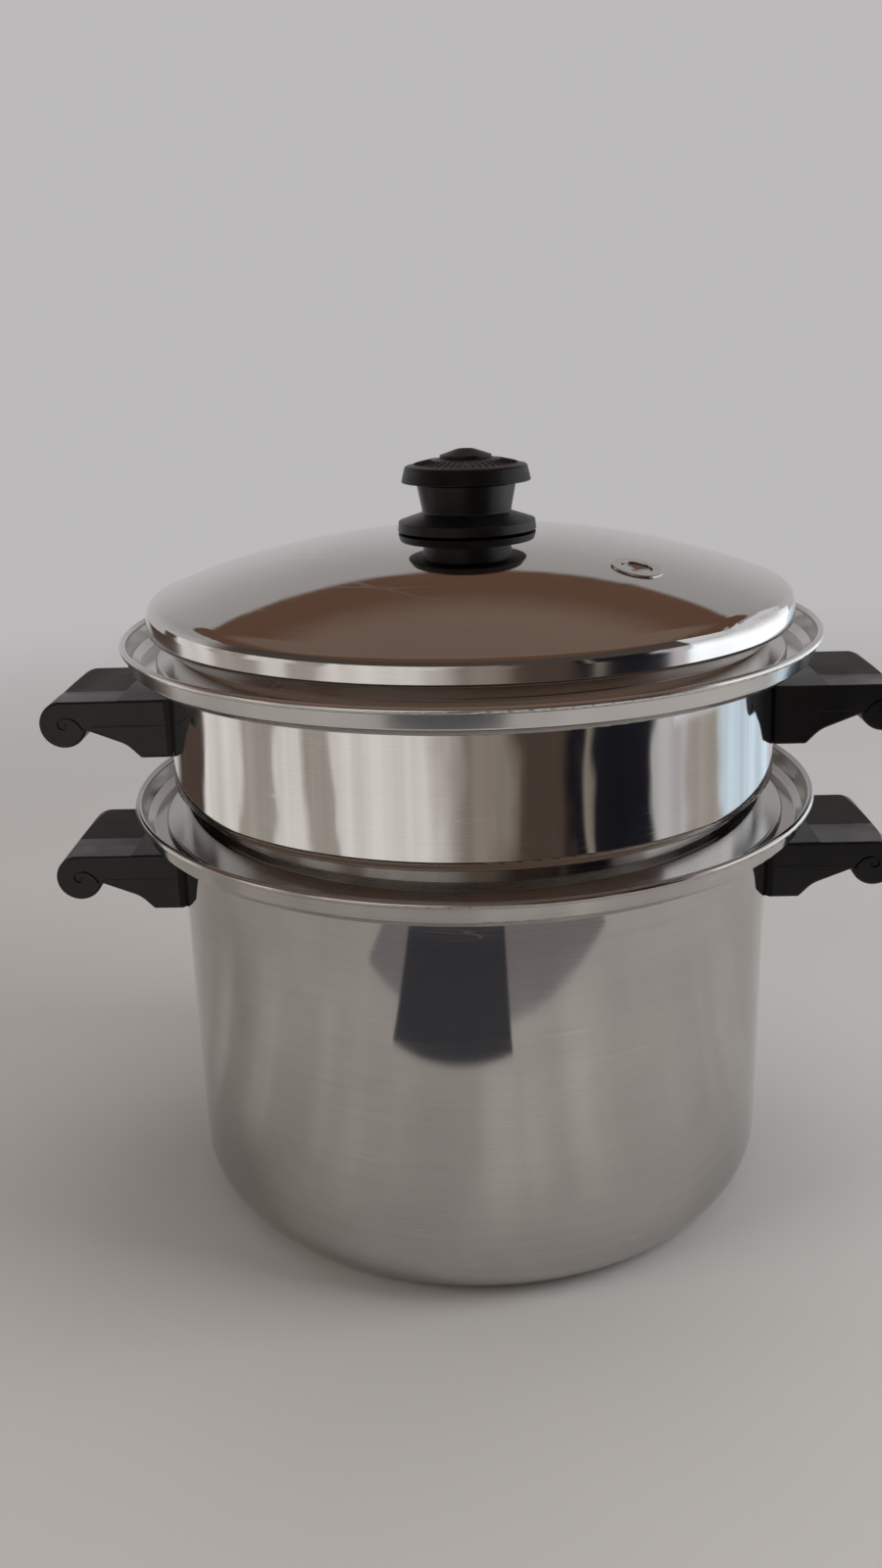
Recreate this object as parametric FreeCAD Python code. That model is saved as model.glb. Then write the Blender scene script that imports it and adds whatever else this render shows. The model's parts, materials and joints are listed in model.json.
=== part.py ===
import FreeCAD, Part
import math
import os

V = FreeCAD.Vector

# A stockpot, a steamer pan that nests in its mouth and a domed lid, in millimetres.
# Z is the pots' common axis, up; the origin is on it at the stockpot's base; the handles lie along X.

# Share of a straight that the bends at its ends may take up
bend_share = 0.98

# Stockpot; the bend radii of all sheets are those on the inside of the bend
pot_height = 161.0
pot_wall_r = 114.6
pot_taper = 0.6
pot_corner_r = 16.8
pot_sheet = 1.2

# Rim, the same on the stockpot and the steamer pan
rim_overhang = 15.4
lip_roll_r = 1.25
gutter_depth = 9.3
gutter_lean = 6.0
band_lean = 2.9
bevel_height = 2.6
rim_bend_r = 0.8
mouth_bend_r = 1.0

# Steamer pan
steamer_rise = 61.0
steamer_sheet = 1.0
wall_step = 1.4
foot_flare = 1.4
crease_rise = 6.4
crease_bend_r = 0.6
foot_slope_height = 3.2
neck_step = 1.0
spigot_clearance = 1.0
spigot_depth = 22.0
spigot_corner_r = 5.0
hole_r = 2.5
hole_pitch = 14.5
hole_margin = 9.0

# Seat bead under the steamer pan and the lid
seat_width = 4.4
bead_height = 2.0

# Lid
lid_sheet = 1.0
lid_overhang = 6.4
lid_crease_rise = 3.3
lid_slope_height = 5.8
lid_shoulder_rise = 12.9
lid_crown_rise = 33.8
lid_crown_inset = 56.3
lid_land_r = 9.5
lid_shoulder_bend_r = 5.5
lid_spigot_depth = 7.0
lid_seam_drop = 1.2

# Handles
handle_drop = 22.0
handle_length = 46.0
handle_width = 56.0
handle_edge_r = 1.0
root_height = 22.0
root_length = 9.2
root_corner_r = 1.4
root_chamfer = 2.6
scroll_r = 8.8
notch_angle = 195.0
notch_bend_r = 0.6
knee_reach = 14.2
knee_drop = 16.8
knee_bend_r = 12.0
plateau_length = 16.5
dish_depth = 3.0
groove_width = 0.9
groove_depth = 0.7
groove_inset = 1.2
groove_eye_r = 1.3
groove_turn = 400.0
groove_decay = 62.0
groove_steps = 24

# Handle bracket, screw and washer
fit_gap = 0.2
saddle_width = 26.0
saddle_height = 15.0
saddle_thickness = 2.0
tongue_length = 14.0
tongue_width = 18.0
tongue_thickness = 4.0
screw_reach = 5.0
screw_r = 1.75
screw_head_r = 3.0
screw_head_height = 2.2
screw_socket_r = 1.2
screw_socket_depth = 1.3
screw_web_thickness = 2.8
washer_thickness = 0.8
thread_gap = 0.1

# Knob, from the crown up, and its fastening
guard_r = 25.7
guard_lean = 0.4
guard_height = 3.6
guard_slope_height = 3.0
knob_neck_low_r = 16.4
knob_neck_high_r = 18.3
knob_neck_height = 10.3
grip_flare_height = 0.8
grip_r = 23.9
grip_shoulder_r = 22.5
grip_height = 5.6
grip_bend_r = 1.2
knob_crown_height = 2.8
knob_edge_r = 0.3
knob_neck_bend_r = 1.0
stud_r = 4.0
stud_flange_step = 4.0
stud_flange_height = 1.2
stud_bore_room = 1.5
knob_screw_r = 1.9
knob_screw_head_r = 4.2
knob_screw_head_height = 2.6
knob_screw_depth = 7.5
knob_web_thickness = 4.5
knob_washer_step = 0.8
knob_well_gap = 1.0
cap_ledge = 3.5
cap_recess_depth = 1.3
cap_rim_height = 2.2
cap_top_r = 3.2
cap_cone_height = 2.1
cap_hole_r = 2.6
cap_hole_depth = 1.5
cap_plug_depth = 3.5
cap_plug_wall = 1.2
cap_plug_room = 2.2

# Vent valve
vent_reach = 77.0
vent_angle = -42.7
bushing_flange_r = 9.0
bushing_flange_height = 0.7
bushing_edge_r = 0.35
bushing_wall = 1.3
bushing_length = 2.8
bushing_seat_depth = 0.9
bushing_collar_step = 1.3
bushing_collar_height = 1.0
stem_r = 2.2
stem_gap = 0.4
vent_cap_r = 5.0
vent_cap_gap = 0.3
vent_cap_height = 1.0
vent_dish_r = 4.2
vent_dish_depth = 0.5
vent_travel = 1.5
clip_land = 1.3
clip_thickness = 0.7
clip_groove = 0.5
stem_tip = 0.9

# Levels and radii that the sizes above fix
rim_r = pot_wall_r + rim_overhang
steamer_lip = pot_height + steamer_rise
pot_seat = pot_height - gutter_depth
steamer_seat = steamer_lip - gutter_depth
steamer_wall_r = pot_wall_r - wall_step
steamer_spigot_r = pot_wall_r - pot_sheet - spigot_clearance
lid_spigot_r = steamer_wall_r - steamer_sheet - spigot_clearance
lid_r = steamer_wall_r + lid_overhang
crown = steamer_lip + lid_crown_rise
lid_seam = steamer_lip + lid_shoulder_rise - lid_seam_drop
steamer_handle_r = steamer_wall_r + foot_flare / 2
knob_neck_low = guard_height + guard_slope_height
knob_neck_high = knob_neck_low + knob_neck_height
grip_low = knob_neck_high + grip_flare_height
grip_shoulder = grip_low + grip_height
knob_top = grip_shoulder + knob_crown_height
cap_seat = crown + knob_top - cap_recess_depth
knob_screw_top = cap_seat - cap_plug_depth - cap_plug_room
knob_screw_seat = knob_screw_top - knob_screw_head_height
knob_web_top = knob_screw_seat - washer_thickness
knob_web = knob_web_top - knob_web_thickness
stud_top = knob_web - fit_gap
knob_washer_r = knob_screw_head_r + knob_washer_step
knob_well_r = knob_washer_r + knob_well_gap
cap_r = knob_well_r + cap_ledge
bushing_bore_r = stem_r + stem_gap
bushing_well_r = vent_cap_r + vent_cap_gap
bushing_r = bushing_well_r + bushing_wall


def line(a, b):
    return Part.LineSegment(V(a[0], 0, a[1]), V(b[0], 0, b[1])).toShape()


def arc(a, middle, b):
    return Part.Arc(V(a[0], 0, a[1]), V(middle[0], 0, middle[1]), V(b[0], 0, b[1])).toShape()


def heading(a, b):
    length = math.dist(a, b)
    return ((b[0] - a[0]) / length, (b[1] - a[1]) / length)


def moved(p, way, along=0.0, left=0.0):
    return (p[0] + way[0] * along - way[1] * left, p[1] + way[1] * along + way[0] * left)


def turn_at(a, b, c):
    """Angle by which a path turns at b, positive to the left."""
    before = heading(a, b)
    after = heading(b, c)
    across = before[0] * after[1] - before[1] * after[0]
    ahead = before[0] * after[0] + before[1] * after[1]
    return math.atan2(across, ahead)


def bend_reaches(points, bends):
    """How far each bend reaches along its straights; bends that don't fit on one shrink to share it."""
    turns = [turn_at(a, b, c) for a, b, c in zip(points, points[1:], points[2:])]
    wanted = [0.0] + [bend * math.tan(abs(turn) / 2) for bend, turn in zip(bends, turns)] + [0.0]
    fits = []
    for a, b, first, last in zip(points, points[1:], wanted, wanted[1:]):
        room = bend_share * math.dist(a, b)
        fits.append(room / max(room, first + last))
    return [reach * min(before, after) for reach, before, after in zip(wanted[1:], fits, fits[1:])]


def rounded_path(points, bends, left=0.0):
    """Edges through (radius, height) points, bent at each inner point and shifted to their left."""
    edges = []
    start = moved(points[0], heading(points[0], points[1]), left=left)
    for a, b, c, reach in zip(points, points[1:], points[2:], bend_reaches(points, bends)):
        before = heading(a, b)
        after = heading(b, c)
        turn = turn_at(a, b, c)
        side = math.copysign(1.0, turn)
        radius = reach / math.tan(abs(turn) / 2)
        first = moved(b, before, along=-reach)
        centre = moved(first, before, left=side * radius)
        middle = moved(centre, heading(centre, b), along=radius - side * left)
        first = moved(first, before, left=left)
        last = moved(b, after, along=reach, left=left)
        edges += [line(start, first), arc(first, middle, last)]
        start = last
    edges.append(line(start, moved(points[-1], heading(points[-2], points[-1]), left=left)))
    return edges


def face_bends(points, bends, thickness):
    """Bend radii of a sheet's outer face from those on the inside of its bends."""
    turns = [turn_at(a, b, c) for a, b, c in zip(points, points[1:], points[2:])]
    return [bend + thickness if turn > 0 else bend for turn, bend in zip(turns, bends)]


def sheet(points, bends, thickness):
    """Section of a sheet whose outer face runs through the points, with its thickness on their left."""
    radii = face_bends(points, bends, thickness)
    near = rounded_path(points, radii)
    far = rounded_path(points, radii, thickness)
    ends = Part.LineSegment(near[-1].lastVertex().Point, far[-1].lastVertex().Point).toShape()
    starts = Part.LineSegment(far[0].firstVertex().Point, near[0].firstVertex().Point).toShape()
    return Part.Face(Part.Wire(near + [ends] + far[::-1] + [starts]))


def outline(points):
    return Part.Face(Part.makePolygon([V(r, 0, z) for r, z in points + points[:1]]))


def spin(section):
    return section.revolve(V(0, 0, 0), V(0, 0, 1), 360)


def spin_together(sections):
    """One solid from sections that overlap, such as a wall and its rolled lip."""
    solids = [spin(section) for section in sections]
    return solids[0].fuse(solids[1:]).removeSplitter()


def cylinder(radius, low, high, x=0.0):
    return Part.makeCylinder(radius, high - low, V(x, 0, low))


def ring(inner, outer, low, high, x=0.0):
    return cylinder(outer, low, high, x).cut(cylinder(inner, low, high, x))


def block(low, high):
    return Part.makeBox(*(b - a for a, b in zip(low, high)), V(*low))


def rim_points(wall_r, thickness, lip):
    """Outer face of the gutter and its band, from the wall's top out to the lip."""
    under = lip - gutter_depth - thickness
    return [
        (wall_r, under),
        (rim_r - gutter_lean, under),
        (rim_r - band_lean, under + bevel_height),
        (rim_r - lip_roll_r + thickness / 2, lip - lip_roll_r),
    ]


def lip_roll(lip):
    centre = V(rim_r - lip_roll_r, 0, lip - lip_roll_r)
    return Part.Face(Part.Wire(Part.makeCircle(lip_roll_r, centre, V(0, 1, 0))))


def bead(inner_r, outer_r, seat):
    """Folded bead with a round edge; its flat underside is the seat."""
    half = bead_height / 2
    edges = [
        line((inner_r, seat), (outer_r - half, seat)),
        arc((outer_r - half, seat), (outer_r, seat + half), (outer_r - half, seat + bead_height)),
        line((outer_r - half, seat + bead_height), (inner_r, seat + bead_height)),
        line((inner_r, seat + bead_height), (inner_r, seat)),
    ]
    return Part.Face(Part.Wire(edges))


def pot_points():
    return [(0, 0), (pot_wall_r - pot_taper, 0)] + rim_points(pot_wall_r, pot_sheet, pot_height)


def steamer_points():
    neck_r = steamer_spigot_r - neck_step
    crease = pot_height + crease_rise
    foot = [
        (neck_r, pot_seat + bead_height / 2),
        (neck_r, crease - foot_slope_height),
        (steamer_wall_r + foot_flare, crease),
    ]
    return foot + rim_points(steamer_wall_r, steamer_sheet, steamer_lip)


def lid_section():
    """Points of the lid's outer face, from its seat out and up to the crown, and its bends.

    The crown's bend runs from the shoulder's slope to the edge of the flat land under the knob.
    """
    crease = steamer_lip + lid_crease_rise
    shoulder = steamer_lip + lid_shoulder_rise
    slope = math.atan2(crown - shoulder, lid_crown_inset)
    crown_bend_r = (lid_r - lid_crown_inset - lid_land_r) / math.tan(slope / 2) - lid_sheet
    points = [
        (lid_spigot_r, steamer_seat + bead_height / 2),
        (lid_spigot_r, crease - lid_slope_height),
        (lid_r, crease),
        (lid_r, shoulder),
        (lid_r - lid_crown_inset, crown),
        (0, crown),
    ]
    return points, [mouth_bend_r, crease_bend_r, lid_shoulder_bend_r, crown_bend_r]


def make_stockpot():
    wall = sheet(pot_points(), [pot_corner_r, mouth_bend_r, rim_bend_r, rim_bend_r], pot_sheet)
    return spin_together([wall, lip_roll(pot_height)])


def make_steamer():
    bends = [mouth_bend_r, crease_bend_r, mouth_bend_r, rim_bend_r, rim_bend_r]
    wall = sheet(steamer_points(), bends, steamer_sheet)
    floor = pot_seat - spigot_depth
    spigot_path = [(0, floor), (steamer_spigot_r, floor), (steamer_spigot_r, pot_seat + bead_height / 2)]
    spigot = sheet(spigot_path, [spigot_corner_r], steamer_sheet)
    inner_r = steamer_spigot_r - neck_step - steamer_sheet
    seat = bead(inner_r, pot_wall_r + seat_width, pot_seat)
    pan = spin_together([wall, lip_roll(steamer_lip), spigot, seat])
    return pan.cut(Part.makeCompound(floor_holes(floor)))


def floor_holes(floor):
    """Rings of round holes through the pan's flat floor, six more in each ring out."""
    last_r = steamer_spigot_r - steamer_sheet - spigot_corner_r - hole_margin
    low = floor - steamer_sheet
    high = floor + 2 * steamer_sheet
    holes = [cylinder(hole_r, low, high)]
    for number in range(1, int(last_r / hole_pitch) + 1):
        count = 6 * number
        for place in range(count):
            hole = cylinder(hole_r, low, high, number * hole_pitch)
            hole.rotate(V(0, 0, 0), V(0, 0, 1), 360.0 * place / count)
            holes.append(hole)
    return holes


def make_lid():
    """Domed cover and, below a flat seam in the shoulder's bend, the skirt with the wall and the seat."""
    points, bends = lid_section()
    dome = sheet(points, bends, lid_sheet)
    low = (lid_spigot_r, steamer_seat - lid_spigot_depth)
    high = (lid_spigot_r, steamer_seat + bead_height / 2)
    spigot = sheet([low, high], [], lid_sheet)
    seat = bead(lid_spigot_r - lid_sheet, steamer_wall_r + seat_width, steamer_seat)
    shell = spin_together([dome, spigot, seat])
    land = cylinder(bushing_flange_r + fit_gap, 0, bushing_length)
    hole = cylinder(bushing_r + fit_gap, -bushing_length, bushing_length)
    below = cylinder(2 * lid_r, 0, lid_seam)
    return shell.cut([below, on_dome(land.fuse(hole))]), shell.common(below)


def dome_height(radius):
    """Height of the lid's outer face at a radius from the axis."""
    points, bends = lid_section()
    face = Part.Wire(rounded_path(points, face_bends(points, bends, lid_sheet)))
    upright = Part.makeLine(V(radius, 0, steamer_lip + lid_shoulder_rise), V(radius, 0, 2 * crown))
    return face.distToShape(upright)[1][0][0].z


def on_dome(shape):
    """Stands a shape made about the Z axis on the flat land of the vent, square to the dome."""
    inner = dome_height(vent_reach - bushing_flange_r)
    outer = dome_height(vent_reach + bushing_flange_r)
    tilt = math.degrees(math.atan2(inner - outer, 2 * bushing_flange_r))
    shape.rotate(V(0, 0, 0), V(0, 1, 0), tilt)
    shape.translate(V(vent_reach, 0, (inner + outer) / 2))
    shape.rotate(V(0, 0, 0), V(0, 0, 1), vent_angle)
    return shape


def scroll_edges(centre, knee):
    """Scroll's round from its top to the notch, and the notch's bend into the underside before the knee."""
    notch_way = (math.cos(math.radians(notch_angle)), math.sin(math.radians(notch_angle)))
    notch = moved(centre, notch_way, along=scroll_r)
    under = heading(notch, knee)
    start = moved(notch, under, left=notch_bend_r)
    ahead = (start[0] - centre[0]) * under[0] + (start[1] - centre[1]) * under[1]
    gap = (scroll_r + notch_bend_r) ** 2 - math.dist(start, centre) ** 2
    run = math.sqrt(ahead ** 2 + gap) - ahead
    bend_centre = moved(start, under, along=run)
    last = moved(notch, under, along=run)
    middle = moved(bend_centre, heading(bend_centre, notch), along=notch_bend_r)
    way = heading(centre, bend_centre)
    first = moved(centre, way, along=scroll_r)
    belly_angle = (math.atan2(way[1], way[0]) % (2 * math.pi) - 1.5 * math.pi) / 2
    belly = moved(centre, (math.cos(belly_angle), math.sin(belly_angle)), along=scroll_r)
    top = (centre[0], centre[1] + scroll_r)
    return [arc(top, belly, first), arc(first, middle, last)], last


def handle_blank():
    """Moulded outside of a handle: X is the reach from the wall, and its upper edge is at height 0."""
    half = handle_width / 2
    centre = (handle_length - scroll_r, -scroll_r)
    knee = (knee_reach, -knee_drop)
    scroll, last = scroll_edges(centre, knee)
    underside = [last, knee, (root_length, -root_height), (-handle_length, -root_height)]
    edges = [line((-handle_length, 0), (centre[0], 0))] + scroll
    edges += rounded_path(underside, [knee_bend_r, root_corner_r])
    edges.append(line((-handle_length, -root_height), (-handle_length, 0)))
    profile = Part.Face(Part.Wire(edges))
    profile.translate(V(0, -half, 0))
    body = profile.extrude(V(0, handle_width, 0))
    sides = [face for face in body.Faces if face.BoundBox.YLength < half]
    rims = [edge for face in sides for edge in face.Edges if edge.BoundBox.XMax > 0]
    body = body.makeFillet(handle_edge_r, rims).cut(dish())
    for side in (-1, 1):
        body = body.cut(scroll_groove(centre, side))
    return body


def make_handle(wall_r, top, wall):
    """Handle on the +X side, with its pocket and screw hole, cut to the wall that it stands against."""
    body = handle_blank()
    body.translate(V(wall_r, 0, top))
    for side in (-1, 1):
        body = body.cut(root_bevel(wall_r, top, side))
    body = body.cut(bracket_shape(wall_r, top, fit_gap))
    body = body.cut(screw_hole(wall_r, top))
    return body.cut(wall)


def dish():
    """Shallow V across a handle's top, from the root's flat plateau out through the scroll."""
    section = [(-handle_width, dish_depth), (0, -dish_depth), (handle_width, dish_depth)]
    corners = [V(plateau_length, y, z) for y, z in section + section[:1]]
    return Part.Face(Part.makePolygon(corners)).extrude(V(handle_length, 0, 0))


def scroll_groove(centre, side):
    """Spiral groove in one flat side of the scroll, from the notch in to the eye."""
    wind = scroll_r - groove_inset - groove_eye_r
    banks = []
    for offset in (-groove_width / 2, groove_width / 2):
        points = []
        for step in range(groove_steps + 1):
            swept = groove_turn * step / groove_steps
            radius = groove_eye_r + wind * math.exp(-swept / groove_decay) + offset
            angle = math.radians(notch_angle - swept)
            x = centre[0] + radius * math.cos(angle)
            z = centre[1] + radius * math.sin(angle)
            points.append(V(x, side * handle_width / 2, z))
        curve = Part.BSplineCurve()
        curve.interpolate(points)
        banks.append((curve.toShape(), points))
    (inner, inner_points), (outer, outer_points) = banks
    first = Part.makeLine(inner_points[0], outer_points[0])
    last = Part.makeLine(inner_points[-1], outer_points[-1])
    face = Part.Face(Part.Wire([inner, last, outer, first]))
    return face.extrude(V(0, -side * groove_depth, 0))


def root_bevel(wall_r, top, side):
    """Upright bevel on a corner of the root, where it comes up to the wall."""
    half = side * handle_width / 2
    edge = math.sqrt(wall_r ** 2 - half ** 2)
    corners = [
        (edge + root_chamfer, half),
        (edge - root_chamfer, half - 2 * side * root_chamfer),
        (edge - root_chamfer, 2 * half),
        (edge + root_chamfer, 2 * half),
    ]
    points = [V(x, y, top - root_height) for x, y in corners + corners[:1]]
    return Part.Face(Part.makePolygon(points)).extrude(V(0, 0, root_height))


def bracket_levels(top):
    """Heights of the root's middle, where the saddle and its tongue lie, and of the screw's seat below."""
    middle = top - root_height / 2
    return middle, middle - tongue_thickness / 2 - fit_gap - screw_web_thickness


def bracket_shape(wall_r, top, gap):
    """Saddle and tongue, larger by a gap all round for the room that the handle leaves them."""
    middle = bracket_levels(top)[0]
    width = saddle_width / 2 + gap
    height = saddle_height / 2 + gap
    saddle = block(
        (wall_r - handle_length, -width, middle - height),
        (wall_r + saddle_thickness + gap, width, middle + height),
    )
    width = tongue_width / 2 + gap
    height = tongue_thickness / 2 + gap
    tongue_end = wall_r + tongue_length + gap
    tongue = block((wall_r, -width, middle - height), (tongue_end, width, middle + height))
    return saddle.fuse(tongue).removeSplitter()


def screw_hole(wall_r, top):
    x = wall_r + screw_reach
    middle, seat = bracket_levels(top)
    shank = cylinder(screw_r + fit_gap, seat, middle, x)
    return shank.fuse(cylinder(screw_head_r + fit_gap, top - root_height - fit_gap, seat, x))


def make_bracket(wall_r, top, wall):
    middle = bracket_levels(top)[0]
    thread_r = screw_r + thread_gap
    thread = cylinder(thread_r, middle - tongue_thickness, middle + tongue_thickness, wall_r + screw_reach)
    return bracket_shape(wall_r, top, 0).cut(thread).cut(wall)


def make_washer(wall_r, top):
    seat = bracket_levels(top)[1]
    return ring(screw_r + thread_gap, screw_head_r, seat - washer_thickness, seat, wall_r + screw_reach)


def make_screw(wall_r, top):
    """Screw that points up: its head hangs under the washer and its end stops inside the tongue."""
    x = wall_r + screw_reach
    middle, seat = bracket_levels(top)
    under_head = seat - washer_thickness
    low = under_head - screw_head_height
    head = cylinder(screw_head_r, low, under_head, x)
    socket = cylinder(screw_socket_r, low, low + screw_socket_depth, x)
    shank = cylinder(screw_r, under_head, middle + tongue_thickness / 2 - fit_gap, x)
    return head.fuse(shank).removeSplitter().cut(socket)


def make_stud():
    flange = cylinder(stud_r + stud_flange_step, crown, crown + stud_flange_height)
    boss = cylinder(stud_r, crown, stud_top)
    bore = cylinder(knob_screw_r + thread_gap, stud_top - knob_screw_depth - stud_bore_room, stud_top)
    return flange.fuse(boss).removeSplitter().cut(bore)


def make_knob():
    """Turned outside of finger guard, neck and grip, bored for the stud, the screw and the cap."""
    points = [
        (0, 0),
        (guard_r, 0),
        (guard_r - guard_lean, guard_height),
        (knob_neck_low_r, knob_neck_low),
        (knob_neck_high_r, knob_neck_high),
        (grip_r, grip_low),
        (grip_shoulder_r, grip_shoulder),
        (cap_r + fit_gap, knob_top),
        (0, knob_top),
    ]
    bends = 2 * [knob_edge_r] + [knob_neck_bend_r, knob_edge_r, knob_edge_r, grip_bend_r, knob_edge_r]
    edges = rounded_path([(r, crown + z) for r, z in points], bends)
    edges.append(line((0, crown + knob_top), (0, crown)))
    body = spin(Part.Face(Part.Wire(edges)))
    flange_r = stud_r + stud_flange_step
    body = body.cut(cylinder(flange_r + fit_gap, crown, crown + stud_flange_height + fit_gap))
    body = body.cut(cylinder(stud_r + fit_gap, crown, knob_web))
    body = body.cut(cylinder(knob_screw_r + fit_gap, knob_web, knob_web_top))
    body = body.cut(cylinder(knob_well_r, knob_web_top, cap_seat))
    return body.cut(cylinder(cap_r + fit_gap, cap_seat, crown + 2 * knob_top))


def make_knob_washer():
    return ring(knob_screw_r + thread_gap, knob_washer_r, knob_web_top, knob_screw_seat)


def make_knob_screw():
    head = cylinder(knob_screw_head_r, knob_screw_seat, knob_screw_top)
    shank = cylinder(knob_screw_r, stud_top - knob_screw_depth, knob_screw_seat)
    socket = cylinder(screw_socket_r, knob_screw_top - screw_socket_depth, knob_screw_top)
    return head.fuse(shank).removeSplitter().cut(socket)


def make_knob_cap():
    """Low cone with a blind hole in its top, which plugs the well over the screw."""
    rim = cap_seat + cap_rim_height
    top = rim + cap_cone_height
    plug_r = knob_well_r - fit_gap
    points = [
        (0, cap_seat),
        (plug_r - cap_plug_wall, cap_seat),
        (plug_r - cap_plug_wall, cap_seat - cap_plug_depth),
        (plug_r, cap_seat - cap_plug_depth),
        (plug_r, cap_seat),
        (cap_r, cap_seat),
        (cap_r, rim),
        (cap_top_r, top),
        (cap_hole_r, top),
        (cap_hole_r, top - cap_hole_depth),
        (0, top - cap_hole_depth),
    ]
    return spin(outline(points))


def make_bushing():
    """Eyelet with its flange on the dome, a well for the valve and a rolled collar inside the lid."""
    low = (bushing_flange_r, 0)
    high = (bushing_flange_r, bushing_flange_height)
    middle = (0, bushing_flange_height)
    edges = rounded_path([middle, high, low], [bushing_edge_r])
    edges += [line(low, (0, 0)), line((0, 0), middle)]
    flange = spin(Part.Face(Part.Wire(edges)))
    barrel = cylinder(bushing_r, -bushing_length, 0)
    collar_top = -lid_sheet - fit_gap
    collar = cylinder(bushing_r + bushing_collar_step, collar_top - bushing_collar_height, collar_top)
    body = flange.fuse([barrel, collar]).removeSplitter()
    body = body.cut(cylinder(bushing_well_r, -bushing_seat_depth, bushing_flange_height))
    return on_dome(body.cut(cylinder(bushing_bore_r, -bushing_length, 0)))


def clip_levels():
    top = -bushing_length - vent_travel
    return top - clip_thickness, top


def make_vent_cap():
    """Dished disc in the bushing's well, whose stem runs down through the bushing to a clip groove."""
    seat = -bushing_seat_depth
    top = seat + vent_cap_height
    low, high = clip_levels()
    neck_r = stem_r - clip_groove
    points = [
        (0, low - stem_tip),
        (stem_r, low - stem_tip),
        (stem_r, low - thread_gap / 2),
        (neck_r, low - thread_gap / 2),
        (neck_r, high + thread_gap / 2),
        (stem_r, high + thread_gap / 2),
        (stem_r, seat),
        (vent_cap_r, seat),
        (vent_cap_r, top),
        (vent_dish_r, top),
        (0, top - vent_dish_depth),
    ]
    return on_dome(spin(outline(points)))


def make_vent_clip():
    low, high = clip_levels()
    return on_dome(ring(stem_r - clip_groove + thread_gap, bushing_bore_r + clip_land, low, high))


def turned_round(shape):
    return shape.copy().rotate(V(0, 0, 0), V(0, 0, 1), 180)


def handle_nodes(pan, wall_r, lip, wall):
    """Both handles of one pan and what fastens them; the left ones are turned half round from the right."""
    top = lip - handle_drop
    single = {"handle": make_handle(wall_r, top, wall), "bracket": make_bracket(wall_r, top, wall)}
    paired = {"screws": make_screw(wall_r, top), "washers": make_washer(wall_r, top)}
    made = {}
    for piece, shape in single.items():
        made[pan + "_" + piece + "_right"] = shape
        made[pan + "_" + piece + "_left"] = turned_round(shape)
    for piece, shape in paired.items():
        made[pan + "_handle_" + piece] = Part.makeCompound([shape, turned_round(shape)])
    return made


def inside_of(points):
    """Solid that fills a pan out to its outer face, which shapes the handles and brackets on its wall."""
    return spin(outline([(0, points[0][1])] + [p for p in points if p[0] > 0] + [(0, points[-1][1])]))


lid_cover, lid_skirt = make_lid()
nodes = {
    "stockpot_shell": make_stockpot(),
    "steamer_pan": make_steamer(),
    "lid_cover": lid_cover,
    "lid_skirt": lid_skirt,
    "knob_stud": make_stud(),
    "lid_knob": make_knob(),
    "knob_washer": make_knob_washer(),
    "knob_screw": make_knob_screw(),
    "knob_cap": make_knob_cap(),
    "vent_bushing": make_bushing(),
    "vent_cap": make_vent_cap(),
    "vent_clip": make_vent_clip(),
}
nodes.update(handle_nodes("stockpot", pot_wall_r, pot_height, inside_of(pot_points())))
nodes.update(handle_nodes("steamer", steamer_handle_r, steamer_lip, inside_of(steamer_points())))

os.makedirs("parts", exist_ok=True)
for name, shape in nodes.items():
    print(name, shape.isValid(), [round(s.Volume) for s in shape.Solids])
    shape.exportStep("parts/" + name + ".step")
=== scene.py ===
import json
import math

import bmesh
import bpy
import numpy as np
from mathutils import Matrix, Vector


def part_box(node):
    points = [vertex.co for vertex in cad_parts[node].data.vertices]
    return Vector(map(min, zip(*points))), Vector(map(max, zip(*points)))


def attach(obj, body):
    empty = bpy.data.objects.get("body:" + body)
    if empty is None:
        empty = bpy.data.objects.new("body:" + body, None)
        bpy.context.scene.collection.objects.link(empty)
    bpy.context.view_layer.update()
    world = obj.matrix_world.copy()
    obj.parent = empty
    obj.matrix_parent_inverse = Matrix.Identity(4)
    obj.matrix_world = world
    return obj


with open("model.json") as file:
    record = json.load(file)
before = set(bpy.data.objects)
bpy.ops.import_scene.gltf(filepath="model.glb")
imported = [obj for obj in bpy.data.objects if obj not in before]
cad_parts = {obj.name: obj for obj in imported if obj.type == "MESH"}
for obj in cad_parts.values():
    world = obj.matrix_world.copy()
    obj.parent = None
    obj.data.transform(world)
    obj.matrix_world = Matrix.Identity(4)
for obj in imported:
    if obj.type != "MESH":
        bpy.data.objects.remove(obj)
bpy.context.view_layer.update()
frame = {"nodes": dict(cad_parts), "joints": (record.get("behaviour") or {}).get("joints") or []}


# Stockpot shell: deep-drawn stainless sheet with a stepped gutter rim and a rolled lip. The wall was ground
# and then polished round its axis, so it mirrors softly; use has left wipe marks and hairline scratches.
def shader_node(tree, kind, inputs=None, **settings):
    """Adds one shader node; its inputs are values or other nodes' outputs, by name or number."""
    node = tree.nodes.new("ShaderNode" + kind)
    for name, value in settings.items():
        setattr(node, name, value)
    for socket, value in (inputs or {}).items():
        if isinstance(value, bpy.types.NodeSocket):
            tree.links.new(value, node.inputs[socket])
        else:
            node.inputs[socket].default_value = value
    return node


def maths(tree, operation, *terms):
    """Result of one operation on numbers."""
    return shader_node(tree, "Math", dict(enumerate(terms)), operation=operation).outputs[0]


def vectors(tree, operation, *terms):
    """Result of one operation on vectors: a number for a length or a dot product, or else a vector."""
    node = shader_node(tree, "VectorMath", dict(enumerate(terms)), operation=operation)
    return node.outputs["Value" if operation in ("LENGTH", "DOT_PRODUCT") else "Vector"]


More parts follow.
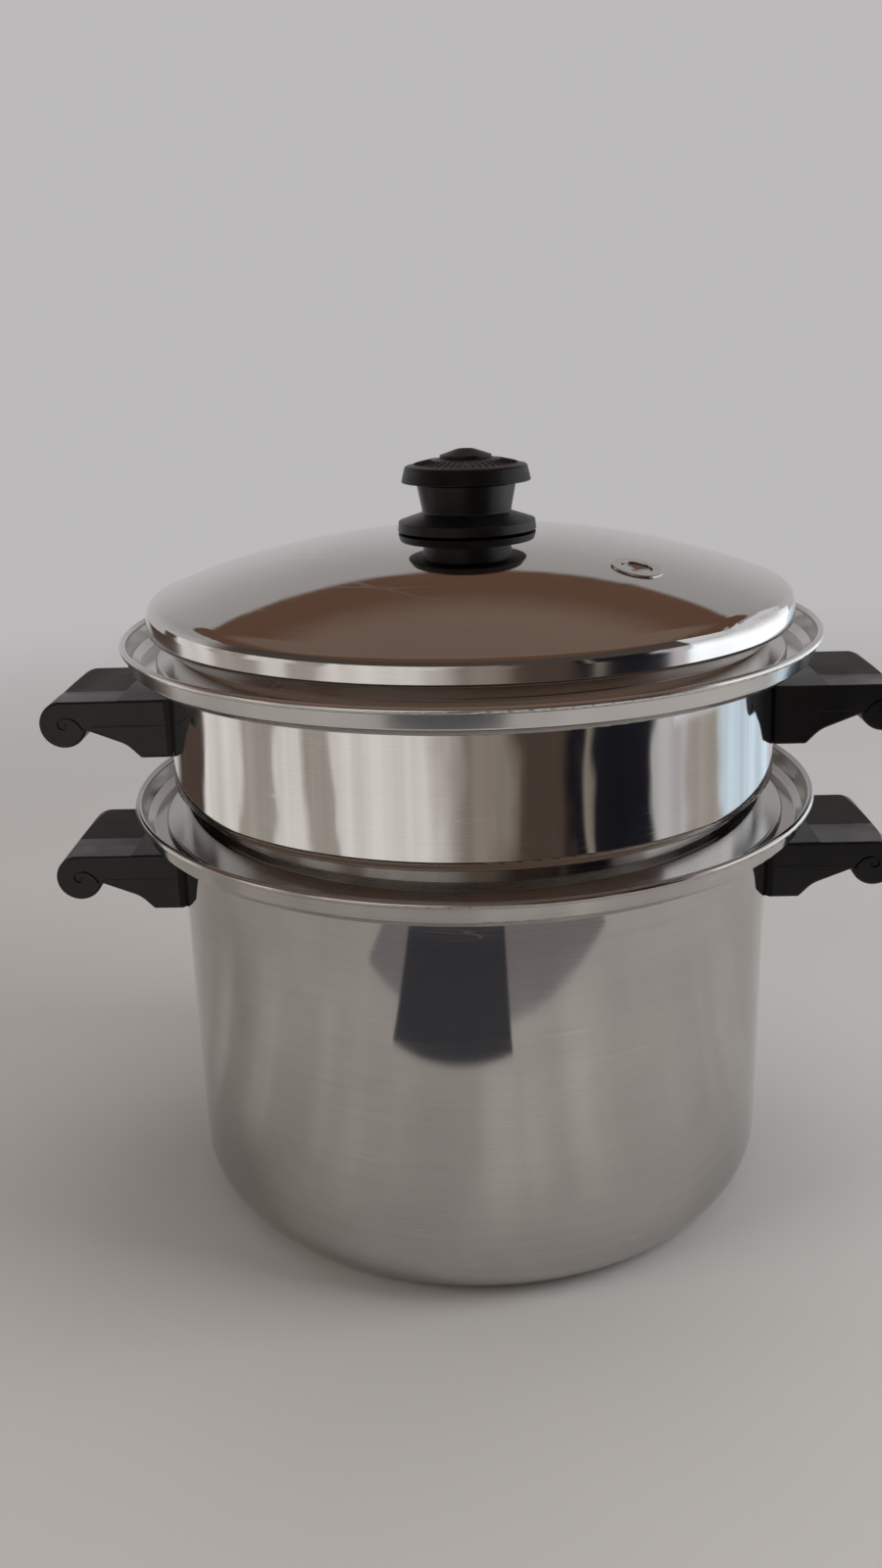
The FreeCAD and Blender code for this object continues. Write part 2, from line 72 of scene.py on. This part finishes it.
def weighted(tree, base, *terms):
    """A base plus each (socket, weight) term."""
    total = base
    for socket, weight in terms:
        total = maths(tree, "MULTIPLY_ADD", socket, weight, total)
    return total


def ranged(tree, value, low, high, to_low=0.0, to_high=1.0):
    """A value carried smoothly from one range to another and held at both ends."""
    inputs = {0: value, 1: low, 2: high, 3: to_low, 4: to_high}
    return shader_node(tree, "MapRange", inputs, interpolation_type="SMOOTHSTEP").outputs[0]


def between(tree, amount, first, second):
    """Colour between two colours, each of them a plain colour or another node's output."""
    ends = [end if isinstance(end, bpy.types.NodeSocket) else (*end, 1) for end in (first, second)]
    return shader_node(tree, "Mix", {0: amount, 6: ends[0], 7: ends[1]}, data_type="RGBA").outputs[2]


def own_place(tree):
    """A point's place in the object's own frame."""
    return shader_node(tree, "TexCoord").outputs["Object"]


def level_part(tree, place):
    """A place with its height left out."""
    return vectors(tree, "MULTIPLY", place, (1, 1, 0))


def height_of(tree, place):
    """A place's height."""
    return shader_node(tree, "SeparateXYZ", {0: place}).outputs[2]


def noise_at(tree, place, scale, detail, **more):
    """Noise in space, about 0.5 on average."""
    inputs = {"Vector": place, "Scale": scale, "Detail": detail, **more}
    return shader_node(tree, "TexNoise", inputs).outputs[0]


def effect_group(name, given, result):
    """Empty node group with one number in and one out, and its input socket and output socket."""
    tree = bpy.data.node_groups.new(name, "ShaderNodeTree")
    tree.interface.new_socket(given, in_out="INPUT", socket_type="NodeSocketFloat")
    tree.interface.new_socket(result, in_out="OUTPUT", socket_type="NodeSocketFloat")
    entry, leave = tree.nodes.new("NodeGroupInput"), tree.nodes.new("NodeGroupOutput")
    return tree, entry.outputs[0], leave.inputs[0]


def turning_lines_group():
    """Fine lines left by grinding about the Z axis: noise drawn out round it, the same seen from any side."""
    tree, fineness, result = effect_group("turning_lines", "Fineness", "Lines")
    place = own_place(tree)
    slow_round = (1.6, 1.6, 0)
    flat = level_part(tree, place)
    across = maths(tree, "MULTIPLY", vectors(tree, "LENGTH", flat), fineness)
    up = maths(tree, "MULTIPLY", height_of(tree, place), fineness)
    out = shader_node(tree, "CombineXYZ", {2: across}).outputs[0]
    at = vectors(tree, "MULTIPLY_ADD", vectors(tree, "NORMALIZE", flat), slow_round, out)
    inputs = {"Vector": at, "W": up, "Scale": 1.0, "Detail": 3.0, "Roughness": 0.7}
    noise = shader_node(tree, "TexNoise", inputs, noise_dimensions="4D").outputs[0]
    tree.links.new(ranged(tree, noise, 0.25, 0.75), result)
    return tree


def hairlines_group():
    """Stray scratches: thin contours of noise that is drawn out in three directions, broken up in patches."""
    tree, patchiness, result = effect_group("hairline_scratches", "Patchiness", "Scratches")
    place = own_place(tree)
    drawn_out, line_width = (7, 9, 190), 0.007
    total = 0.0
    for turn in ((0.3, 0.9, 0.2), (1.2, -0.4, 0.8), (-0.6, 0.4, 1.9)):
        inputs = {"Vector": place, "Rotation": turn, "Scale": drawn_out}
        drawn = shader_node(tree, "Mapping", inputs).outputs[0]
        noise = noise_at(tree, drawn, scale=1.0, detail=1.0)
        off = maths(tree, "ABSOLUTE", maths(tree, "SUBTRACT", noise, 0.5))
        line = ranged(tree, off, 0.0, line_width, 1.0, 0.0)
        patch = ranged(tree, noise_at(tree, drawn, scale=0.35, detail=0.0), 0.5, 0.68)
        total = maths(tree, "ADD", total, maths(tree, "MULTIPLY", line, patch))
    spots = ranged(tree, noise_at(tree, place, scale=patchiness, detail=2.0), 0.4, 0.65)
    tree.links.new(maths(tree, "MULTIPLY", total, spots), result)
    return tree


def wipe_marks_group():
    """Soft clouds of haze where a cloth and fingers have passed."""
    tree, size, result = effect_group("wipe_marks", "Size", "Haze")
    noise = noise_at(tree, own_place(tree), scale=size, detail=4.0, Roughness=0.6, Distortion=0.7)
    tree.links.new(ranged(tree, noise, 0.3, 0.72), result)
    return tree


turning_lines = turning_lines_group()
hairlines = hairlines_group()
wipe_marks = wipe_marks_group()


def use_effect(tree, group, **given):
    """Places an effect in a material with a value of its own."""
    return shader_node(tree, "Group", given, node_tree=group).outputs[0]


def new_material(name):
    """New material with its node tree and its main shader."""
    material = bpy.data.materials.new(name)
    material.use_nodes = True
    return material, material.node_tree, material.node_tree.nodes["Principled BSDF"]


def give_surface(tree, shader, colour, roughness, height, relief):
    """Joins colour, roughness and a fine relief of the given depth in metres to a shader."""
    tree.links.new(colour, shader.inputs["Base Color"])
    tree.links.new(roughness, shader.inputs["Roughness"])
    bump = shader_node(tree, "Bump", {"Height": height, "Strength": 1.0, "Distance": relief})
    tree.links.new(bump.outputs[0], shader.inputs["Normal"])


def facing_in(tree, middle):
    """1 on the faces that look towards a point inside the pan, 0 on its outside."""
    away = vectors(tree, "SUBTRACT", own_place(tree), (0, 0, middle))
    along = vectors(tree, "DOT_PRODUCT", away, shader_node(tree, "TexCoord").outputs["Normal"])
    return maths(tree, "LESS_THAN", along, 0.0)


def facing_out(tree):
    """1 on the faces that look away from the Z axis, 0 on level ones and on those that look towards it."""
    away = vectors(tree, "NORMALIZE", level_part(tree, own_place(tree)))
    along = vectors(tree, "DOT_PRODUCT", away, shader_node(tree, "TexCoord").outputs["Normal"])
    return ranged(tree, along, 0.35, 0.75)


# Roughness that the inside of a pan or the lid gains over its outside.
dull_inside = 0.16


def steel_finish(name, dark, pale, rough, fineness, middle, relief, satin):
    """Stainless finish: ground lines, haze and scratches move its colour, roughness and relief.

    It is duller inside. The satin band grows from the first height to the second; the other two numbers
    are the roughness that its outer faces and its other faces gain. The other faces have no ground lines.
    """
    material, tree, steel = new_material(name)
    scratches = use_effect(tree, hairlines, Patchiness=24.0)
    haze = use_effect(tree, wipe_marks, Size=13.0)
    start, end, outer_rough, inner_rough = satin
    band = ranged(tree, height_of(tree, own_place(tree)), start, end)
    outer = maths(tree, "MULTIPLY", band, facing_out(tree))
    inner = maths(tree, "SUBTRACT", band, outer)
    below = maths(tree, "MULTIPLY", facing_in(tree, middle), maths(tree, "SUBTRACT", 1.0, band))
    ground = maths(tree, "SUBTRACT", 1.0, inner)
    lines = maths(tree, "MULTIPLY", use_effect(tree, turning_lines, Fineness=fineness), ground)
    shade = weighted(tree, 0.2, (haze, 0.4), (lines, 0.25), (scratches, 0.5))
    roughness = weighted(
        tree, rough * 0.65, (lines, rough * 0.35), (haze, rough * 0.5), (scratches, 0.12),
        (below, dull_inside), (outer, outer_rough), (inner, inner_rough))
    height = weighted(tree, 0.0, (lines, 1.0), (scratches, -1.2))
    give_surface(tree, steel, between(tree, shade, dark, pale), roughness, height, relief)
    steel.inputs["Metallic"].default_value = 1.0
    return material, tree, steel


def dress(names, material):
    """Gives CAD nodes a material in place of the one they came with."""
    for name in names:
        for slot in frame["nodes"][name].material_slots:
            slot.material = material


rim_depth, rim_blend = 0.0102, 0.001
rim_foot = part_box("stockpot_shell")[1][2] - rim_depth
ground_steel, tree, steel = steel_finish(
    "ground_stainless", dark=(0.425, 0.407, 0.388), pale=(0.61, 0.588, 0.563), rough=0.06, fineness=1900.0,
    middle=0.08, relief=5e-7, satin=(rim_foot - rim_blend, rim_foot + rim_blend, 0.08, 0.08))
steel.inputs["Anisotropic"].default_value = 0.5
steel.inputs["Anisotropic Rotation"].default_value = 0.25
round_the_axis = shader_node(tree, "Tangent", direction_type="RADIAL", axis="Z").outputs[0]
tree.links.new(round_the_axis, steel.inputs["Tangent"])
dress(["stockpot_shell"], ground_steel)


# Stockpot handle fittings: pressed steel saddles welded to the wall, with a screw and a lock washer in each
# handle from below. They are plain bright steel, dulled a little where grease and steam reach them.
fitting_steel, tree, steel = new_material("plain_fitting_steel")
haze = use_effect(tree, wipe_marks, Size=160.0)
clean_rough, greasy_rough = 0.24, 0.42
tree.links.new(between(tree, haze, (0.46, 0.45, 0.43), (0.64, 0.63, 0.61)), steel.inputs["Base Color"])
tree.links.new(ranged(tree, haze, 0.0, 1.0, clean_rough, greasy_rough), steel.inputs["Roughness"])
steel.inputs["Metallic"].default_value = 1.0
dress(["stockpot_bracket_left", "stockpot_bracket_right"], fitting_steel)
dress(["stockpot_handle_screws", "stockpot_handle_washers"], fitting_steel)


# Stockpot handles: black phenolic, hot-pressed in a two-part mould, with a scroll at the grip's end. The
# mould's halves leave a fine raised seam along both flat sides, which runs out at the scroll.
phenolic, tree, plastic = new_material("black_phenolic")
place = own_place(tree)
mottle = noise_at(tree, place, scale=95.0, detail=5.0, Roughness=0.62)
grain = noise_at(tree, place, scale=2100.0, detail=2.0)
haze = use_effect(tree, wipe_marks, Size=32.0)
scuffs = use_effect(tree, hairlines, Patchiness=60.0)
shade = weighted(tree, 0.0, (ranged(tree, mottle, 0.35, 0.7), 0.6), (haze, 0.25), (scuffs, 0.5))
colour = between(tree, shade, (0.0016, 0.0016, 0.0018), (0.0065, 0.0062, 0.006))
roughness = weighted(tree, 0.28, (haze, 0.12), (mottle, 0.1), (scuffs, 0.12))
height = weighted(tree, 0.0, (grain, 1.0), (mottle, 2.0), (scuffs, -1.0))
give_surface(tree, plastic, colour, roughness, height, relief=9e-6)
plastic.inputs["IOR"].default_value = 1.46
dress(["stockpot_handle_left", "stockpot_handle_right"], phenolic)


def mesh_object(name, points, faces, material):
    """New object at the origin from lists of points and faces."""
    mesh = bpy.data.meshes.new(name)
    mesh.from_pydata(points, [], faces)
    mesh.materials.append(material)
    thing = bpy.data.objects.new(name, mesh)
    bpy.context.scene.collection.objects.link(thing)
    return thing


def grid_piece(name, grids, material):
    """Piece from grids of points shaped (copies, rows, columns, 3), each joined into a closed tube."""
    copies, rows, columns, _ = grids.shape
    index = np.arange(copies * rows * columns).reshape(copies, rows, columns)
    here, along = index[:, :-1], index[:, 1:]
    faces = np.stack([here, np.roll(here, -1, 2), np.roll(along, -1, 2), along], -1).reshape(-1, 4)
    piece = mesh_object(name, grids.reshape(-1, 3).tolist(), faces.tolist(), material)
    work = bmesh.new()
    work.from_mesh(piece.data)
    bmesh.ops.remove_doubles(work, verts=work.verts, dist=1e-7)
    bmesh.ops.recalc_face_normals(work, faces=work.faces)
    work.to_mesh(piece.data)
    work.free()
    smooth = np.ones(len(piece.data.polygons), dtype=bool)
    piece.data.polygons.foreach_set("use_smooth", smooth)
    return piece


def slim_rod(rows, sides, bluntness):
    """Steps along a rod, angles round it, and its fullness: 1 in the middle, falling to 0 at both ends."""
    along = np.linspace(0, 1, rows)[:, None]
    turn = np.linspace(0, 2 * np.pi, sides, endpoint=False)[None, :]
    fullness = (1 - np.abs(2 * along - 1) ** bluntness) ** 0.5
    return along, turn, fullness


seam_width, seam_rise = 0.0005, 0.00016
seam_drop, seam_start, seam_length = 0.0096, 0.0025, 0.0283


def seam_grids(handle):
    """Seams on both sides of both handles: a half-sunk ellipse carried along X, with pointed ends."""
    low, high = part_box(handle)
    along, turn, fullness = slim_rod(rows=25, sides=10, bluntness=6)
    x = low[0] + seam_start + seam_length * along + 0 * turn
    y = high[1] + seam_rise * fullness * np.sin(turn)
    z = high[2] - seam_drop + seam_width / 2 * fullness * np.cos(turn)
    one = np.stack([x, y, z], -1)
    signs = np.array([(1, 1, 1), (1, -1, 1), (-1, 1, 1), (-1, -1, 1)])
    return one[None] * signs[:, None, None, :]


stockpot_seams = grid_piece("stockpot_handle_mould_seams", seam_grids("stockpot_handle_right"), phenolic)
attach(stockpot_seams, "stockpot")


# Steamer pan: thinner stainless, drawn with a perforated floor, a seat bead and the stockpot's rim. Its
# outside is buffed to a mirror that still shows a little cloth haze and stray hairlines.
rim_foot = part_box("steamer_pan")[1][2] - rim_depth
buffed_dark, buffed_pale = (0.61, 0.595, 0.575), (0.74, 0.73, 0.715)
mirror_steel = steel_finish(
    "buffed_stainless", dark=buffed_dark, pale=buffed_pale, rough=0.06, fineness=2600.0,
    middle=0.19, relief=2.5e-7, satin=(rim_foot - rim_blend, rim_foot + rim_blend, 0.13, 0.07))[0]
dress(["steamer_pan"], mirror_steel)


# Steamer pan fittings and handles: the same saddles, screws, washers and phenolic handles as on the stockpot,
# one size of mould for all four, so the seam runs at the same drop below the handle's top.
dress(["steamer_bracket_left", "steamer_bracket_right"], fitting_steel)
dress(["steamer_handle_screws", "steamer_handle_washers"], fitting_steel)
dress(["steamer_handle_left", "steamer_handle_right"], phenolic)
steamer_seams = grid_piece("steamer_handle_mould_seams", seam_grids("steamer_handle_right"), phenolic)
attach(steamer_seams, "steamer")


# Lid: a thin domed cover joined at its shoulder to a stepped seat ring, both of stainless sheet and buffed
# like the pan. The ring's wall turns satin towards its foot, and the inside stays duller than the outside.
lid_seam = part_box("lid_cover")[0][2]
satin_depth = 0.005
lid_steel = steel_finish(
    "buffed_lid_stainless", dark=buffed_dark, pale=buffed_pale, rough=0.045, fineness=2300.0,
    middle=0.1, relief=2.0e-7, satin=(lid_seam, lid_seam - satin_depth, 0.09, dull_inside))[0]
dress(["lid_cover", "lid_skirt"], lid_steel)


# Knob: the same black phenolic as the handles, screwed down on a welded stud, with a plug cap over the screw.
# A ring of low ribs stands on the grip's conical top, where thumb and palm press when the lid is lifted.
dress(["knob_stud", "knob_washer", "knob_screw"], fitting_steel)
dress(["lid_knob", "knob_cap"], phenolic)

rib_count, rib_width, rib_rise = 44, 0.0009, 0.0003
rib_inner_r, rib_outer_r = 0.0126, 0.0196
cone_height, cone_foot_r, cone_top_r = 0.0028, 0.0225, 0.0097


def rib_grids(top):
    """Ribs that point at the axis: a half-sunk ellipse with blunt ends, carried up the cone and round it."""
    along, turn, fullness = slim_rod(rows=9, sides=8, bluntness=4)
    slope = cone_height / (cone_foot_r - cone_top_r)
    reach = rib_inner_r + (rib_outer_r - rib_inner_r) * along + 0 * turn
    across = rib_width / 2 * fullness * np.cos(turn)
    lift = top - (reach - cone_top_r) * slope + rib_rise * fullness * np.sin(turn)
    angle = np.linspace(0, 2 * np.pi, rib_count, endpoint=False)[:, None, None]
    x = reach * np.cos(angle) - across * np.sin(angle)
    y = reach * np.sin(angle) + across * np.cos(angle)
    return np.stack([x, y, lift + 0 * angle], -1)


grip_ribs = grid_piece("knob_grip_ribs", rib_grids(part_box("lid_knob")[1][2]), phenolic)
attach(grip_ribs, "lid")


# Vent valve: a turned eyelet riveted through the dome, with a loose dished disc in its well that steam lifts.
# Both are bright turned steel, with tool rings round the valve's own tilted axis.
def noise_along(tree, value, scale, detail):
    """Noise along one number, about 0.5 on average."""
    inputs = {"W": maths(tree, "MULTIPLY", value, scale), "Scale": 1.0, "Detail": detail}
    return shader_node(tree, "TexNoise", inputs, noise_dimensions="1D").outputs[0]


valve_steel, tree, steel = new_material("turned_valve_steel")
vent_axis = Vector(next(joint["axis"] for joint in frame["joints"] if joint["name"] == "vent_lift"))
vent_middle = (Vector(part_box("vent_cap")[0]) + Vector(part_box("vent_cap")[1])) / 2
vent_tilt = vent_axis.to_track_quat("Z", "Y").to_euler()
inputs = {"Vector": own_place(tree), "Location": vent_middle, "Rotation": vent_tilt}
from_valve = shader_node(tree, "Mapping", inputs, vector_type="TEXTURE").outputs[0]
radius = vectors(tree, "LENGTH", level_part(tree, from_valve))
rings = noise_along(tree, radius, scale=5200.0, detail=2.0)
haze = use_effect(tree, wipe_marks, Size=140.0)
shade = weighted(tree, 0.0, (haze, 0.5), (rings, 0.5))
colour = between(tree, shade, (0.58, 0.57, 0.55), (0.76, 0.75, 0.73))
roughness = weighted(tree, 0.08, (haze, 0.08), (rings, 0.06))
give_surface(tree, steel, colour, roughness, rings, relief=1.2e-6)
steel.inputs["Metallic"].default_value = 1.0
dress(["vent_bushing", "vent_cap"], valve_steel)
dress(["vent_clip"], fitting_steel)


# Studio floor: a plain pale sheet of matt card under the set. It takes the set's soft shadow, and further
# off it runs into the pale background without a line.
def stage_sheet(name, corners, height, material):
    """Level sheet between corners given as (x, y) pairs."""
    points = [(*corner, height) for corner in corners]
    sheet = mesh_object(name, points, [range(len(corners))], material)
    return sheet


def square(half):
    """Corners of a square about the axis."""
    return [(-half, -half), (half, -half), (half, half), (-half, half)]


backdrop = (0.5, 0.488, 0.492)
floor_half, fade_start, fade_end = 9, 0.38, 1.3
card, tree, paper = new_material("pale_card")
place = own_place(tree)
fibre = noise_at(tree, place, scale=6.0, detail=6.0)
tree.links.new(between(tree, fibre, (0.485, 0.46, 0.44), (0.525, 0.498, 0.476)), paper.inputs["Base Color"])
paper.inputs["Roughness"].default_value = 0.8
paper.inputs["Specular IOR Level"].default_value = 0.0
ray = shader_node(tree, "LightPath").outputs
metal = maths(tree, "MAXIMUM", ray["Is Glossy Ray"], ray["Is Transmission Ray"])
seen = maths(tree, "MAXIMUM", ray["Is Camera Ray"], metal)
far = maths(tree, "MULTIPLY", ranged(tree, vectors(tree, "LENGTH", place), fade_start, fade_end), seen)
glow = shader_node(tree, "Emission", {"Color": (*backdrop, 1)}).outputs[0]
blend = shader_node(tree, "MixShader", {0: far, 1: paper.outputs[0], 2: glow}).outputs[0]
tree.links.new(blend, tree.nodes["Material Output"].inputs["Surface"])
stage_sheet("studio_floor", square(floor_half), 0, card)


# Studio surroundings: a pale wall behind the set, which the camera and the metal see, under a brown ceiling,
# and a dim warm room on the camera's side, which only the metal sees; an even grey light besides.
world = bpy.data.worlds.new("studio_surroundings")
bpy.context.scene.world = world
world.use_nodes = True
tree = world.node_tree
wall_top, dim_room = (0.37, 0.355, 0.35), (0.075, 0.06, 0.052)
ceiling_edge, ceiling_middle = (0.128, 0.07, 0.047), (0.19, 0.131, 0.101)
front_light, back_light = (0.24, 0.235, 0.235), (0.44, 0.44, 0.455)

# The ranges below are parts of a direction of length 1: back is its share of +Y, rise its share of +Z.
way = shader_node(tree, "TexCoord").outputs["Generated"]
_, back, rise = shader_node(tree, "SeparateXYZ", {0: way}).outputs
ray = shader_node(tree, "LightPath").outputs
wall = between(tree, ranged(tree, rise, 0.1, 0.48), backdrop, wall_top)
room = between(tree, ranged(tree, back, 0.3, -0.05), wall, dim_room)
ceiling = between(tree, ranged(tree, rise, 0.6, 0.72), ceiling_edge, ceiling_middle)
mirrored = between(tree, ranged(tree, rise, 0.49, 0.51), room, ceiling)
soft_light = between(tree, ranged(tree, back, -0.4, 0.4), front_light, back_light)
plain = between(tree, ray["Is Camera Ray"], soft_light, backdrop)
metal = maths(tree, "MAXIMUM", ray["Is Glossy Ray"], ray["Is Transmission Ray"])
tree.links.new(between(tree, metal, plain, mirrored), tree.nodes["Background"].inputs["Color"])


# Reflector screens: curved walls glowing in the colours of pale, beige, brown and dark card, tall on the
# camera's side and low behind, and a bright glowing window card on the right. They are no lamps; only the
# metal sees them, as painted reflections in its polish.
screen_steps = 73


def curved_screen(name, radius, low, high, start, end, material):
    """Upright band about Z between two azimuths in degrees from -Y: each step has a low and a high point."""
    turn = np.radians(np.linspace(start, end, screen_steps))
    circle = np.stack([radius * np.sin(turn), -radius * np.cos(turn)], -1)
    points = np.concatenate([np.insert(circle, 2, low, 1), np.insert(circle, 2, high, 1)])
    here = np.arange(len(turn) - 1)
    faces = np.stack([here, here + len(turn), here + len(turn) + 1, here + 1], -1)
    screen = mesh_object(name, points.tolist(), faces.tolist(), material)
    return screen


def metal_only(screen):
    """Leaves a card to be seen in polish alone."""
    screen.visible_camera = False
    screen.visible_diffuse = False
    screen.visible_shadow = False
    screen.visible_transmission = False


def glowing_card(name, colour):
    """Card that glows evenly, with its node tree and its shader."""
    material, tree, _ = new_material(name)
    glow = shader_node(tree, "Emission", {"Color": (*colour, 1)})
    tree.links.new(glow.outputs[0], tree.nodes["Material Output"].inputs["Surface"])
    return material, tree, glow


def azimuth_of(tree, place):
    """Angle of a place about the Z axis, from -Y."""
    x, y, _ = shader_node(tree, "SeparateXYZ", {0: place}).outputs
    return maths(tree, "ARCTAN2", x, maths(tree, "MULTIPLY", y, -1.0))


white, pale, sky, sun = (0.83, 0.785, 0.76), (0.56, 0.535, 0.55), (0.74, 0.88, 1.0), (1.6, 1.7, 1.78)
sand, beige, card_foot = (0.42, 0.38, 0.34), (0.28, 0.24, 0.205), (0.36, 0.335, 0.31)
brown, ink = (0.085, 0.058, 0.047), (0.012, 0.012, 0.016)

# Each card's first azimuth and colour, and half the width of the soft edge before it, in degrees.
cards = [
    (-180, pale, 0), (-132, brown, 4), (-103, white, 1.5), (-82, sand, 2), (-65, white, 1), (-54, sand, 2),
    (-40, white, 1), (-8, beige, 6), (10, brown, 3), (28, ink, 1.5), (33, beige, 0.7), (35.5, ink, 0.7),
    (58, pale, 1), (73, sand, 2), (90, sky, 3), (135, pale, 6)]
edge_sway, foot_sway = 0.055, 0.05
screens, tree, glow = glowing_card("reflector_screens", pale)
place = own_place(tree)
azimuth = azimuth_of(tree, place)
waves = noise_at(tree, place, scale=11.0, detail=2.0)
across = weighted(tree, 0.5 - edge_sway / 2, (azimuth, 0.5 / math.pi), (waves, edge_sway))
ramp = shader_node(tree, "ValToRGB", {0: across})
stops = ramp.color_ramp.elements
stops[0].color = (*pale, 1)
stops.remove(stops[1])
for (_, old, _), (start, new, softness) in zip(cards, cards[1:]):
    stops.new((start - softness) / 360 + 0.5).color = (*old, 1)
    stops.new((start + softness) / 360 + 0.5).color = (*new, 1)
folds = ranged(tree, noise_along(tree, azimuth, scale=7.0, detail=3.0), 0.3, 0.7, 0.86, 1.08)
shaded = shader_node(tree, "VectorMath", {0: ramp.outputs[0], 3: folds}, operation="SCALE").outputs[0]
lifted = weighted(tree, -foot_sway / 2, (height_of(tree, place), 1.0), (waves, foot_sway))
faded = between(tree, ranged(tree, lifted, 0.012, 0.03), card_foot, shaded)
tree.links.new(faded, glow.inputs["Color"])
screen_r, screen_foot, front_top, back_top = 0.42, 0.011, 0.27, 0.2
metal_only(curved_screen("front_screen", screen_r, screen_foot, front_top, -112, 112, screens))
metal_only(curved_screen("back_screen", screen_r, screen_foot, back_top, 112, 248, screens))

daylight, tree, glow = glowing_card("daylight_card", sky)
place = own_place(tree)
height = height_of(tree, place)
clouds = ranged(tree, noise_at(tree, place, scale=9.0, detail=3.0), 0.3, 0.7)
middle = maths(tree, "MULTIPLY", ranged(tree, height, 0.133, 0.15), ranged(tree, height, 0.32, 0.16))
brightness = weighted(tree, 0.0, (clouds, 0.2), (middle, 0.8))
tree.links.new(between(tree, brightness, pale, sun), glow.inputs["Color"])
window_r, window_foot, window_top = 0.4, 0.132, 0.42
metal_only(curved_screen("window_screen", window_r, window_foot, window_top, 66, 124, daylight))


# Floor reflectors: a grey apron and a dark strip that glow like card on the floor in front, and painted
# streaks of light round the pot such as polished steel throws on a table. They too are no lamps and are seen
# in the polish alone, as painted reflections.
apron_height, streak_height, strip_height = 0.001, 0.0015, 0.002
apron = [(-0.21, -0.7), (0.28, -0.7), (0.28, -0.31), (-0.21, -0.31)]
apron_card = glowing_card("grey_floor_card", (0.23, 0.215, 0.22))[0]
metal_only(stage_sheet("grey_apron_in_front", apron, apron_height, apron_card))
strip = [(-0.21, -0.7), (0.1, -0.7), (0.05, -0.278), (-0.125, -0.262)]
strip_card = glowing_card("dark_floor_card", (0.05, 0.05, 0.058))[0]
metal_only(stage_sheet("dark_strip_in_front", strip, strip_height, strip_card))

streak_light, streaks_half = 0.12, 0.45
streaks, tree, glow = glowing_card("light_streaks", white)
place = own_place(tree)
distance = vectors(tree, "LENGTH", place)
rays = ranged(tree, noise_along(tree, azimuth_of(tree, place), scale=2.9, detail=1.5), 0.4, 0.75)
fan = maths(tree, "MULTIPLY", ranged(tree, distance, 0.14, 0.2), ranged(tree, distance, 0.4, 0.26))
strength = maths(tree, "MULTIPLY", maths(tree, "MULTIPLY", fan, rays), streak_light)
tree.links.new(strength, glow.inputs["Strength"])
through = shader_node(tree, "BsdfTransparent").outputs[0]
both = shader_node(tree, "AddShader", {0: glow.outputs[0], 1: through}).outputs[0]
tree.links.new(both, tree.nodes["Material Output"].inputs["Surface"])
metal_only(stage_sheet("light_streaks_on_floor", square(streaks_half), streak_height, streaks))


# Studio lamps: a large soft panel like a window on the right, a weaker warm one on the left and a soft one
# overhead. The polish doesn't show them; it shows the cards instead.
def panel_lamp(name, at, aim, size, watts, colour):
    """Rectangular lamp at one point, turned towards another."""
    lamp = bpy.data.lights.new(name, "AREA")
    lamp.shape = "RECTANGLE"
    lamp.size, lamp.size_y = size
    lamp.energy = watts
    lamp.color = colour
    holder = bpy.data.objects.new(name, lamp)
    holder.location = at
    holder.rotation_euler = (Vector(aim) - Vector(at)).to_track_quat("-Z", "Y").to_euler()
    holder.visible_glossy = False
    bpy.context.scene.collection.objects.link(holder)


panel_lamp("window_panel", at=(1.25, -0.2, 0.85), aim=(0, 0, 0.15), size=(0.8, 1.0), watts=14.0,
           colour=(0.93, 0.97, 1.0))
panel_lamp("warm_fill_panel", at=(-1.3, -0.7, 0.8), aim=(0, 0, 0.12), size=(0.7, 0.9), watts=7.5,
           colour=(1.0, 0.93, 0.85))
panel_lamp("overhead_panel", at=(0.1, 0.3, 1.7), aim=(0, 0, 0.1), size=(1.2, 1.2), watts=7.0,
           colour=(1.0, 0.98, 0.96))


# Camera: held in front of the set, a little above the lid, tipped down and slightly turned and rolled, with
# a wide lens, so the handles on the right run out of the picture.
def aim_camera(at, yaw, pitch, roll, focal):
    """Camera from its place, its turn about Z, tip down and roll, and its focal length in picture heights."""
    right = Vector((math.cos(yaw), -math.sin(yaw), 0))
    ahead = Vector((math.sin(yaw), math.cos(yaw), 0))
    up = ahead * math.sin(pitch) + Vector((0, 0, math.cos(pitch)))
    forward = ahead * math.cos(pitch) - Vector((0, 0, math.sin(pitch)))
    across = right * math.cos(roll) + up * math.sin(roll)
    upright = up * math.cos(roll) - right * math.sin(roll)
    sensor = 36.0
    camera = bpy.data.objects.new("camera", bpy.data.cameras.new("camera"))
    camera.matrix_world = Matrix.Translation(at) @ Matrix((across, upright, -forward)).transposed().to_4x4()
    camera.data.sensor_width = sensor
    camera.data.lens = sensor * focal
    bpy.context.scene.collection.objects.link(camera)
    bpy.context.scene.camera = camera


aim_camera((0, -0.4969, 0.3202), yaw=math.radians(-1.43), pitch=math.radians(18.26),
           roll=math.radians(-1.64), focal=1350 / 1600)
bpy.context.scene.view_settings.view_transform = "Standard"
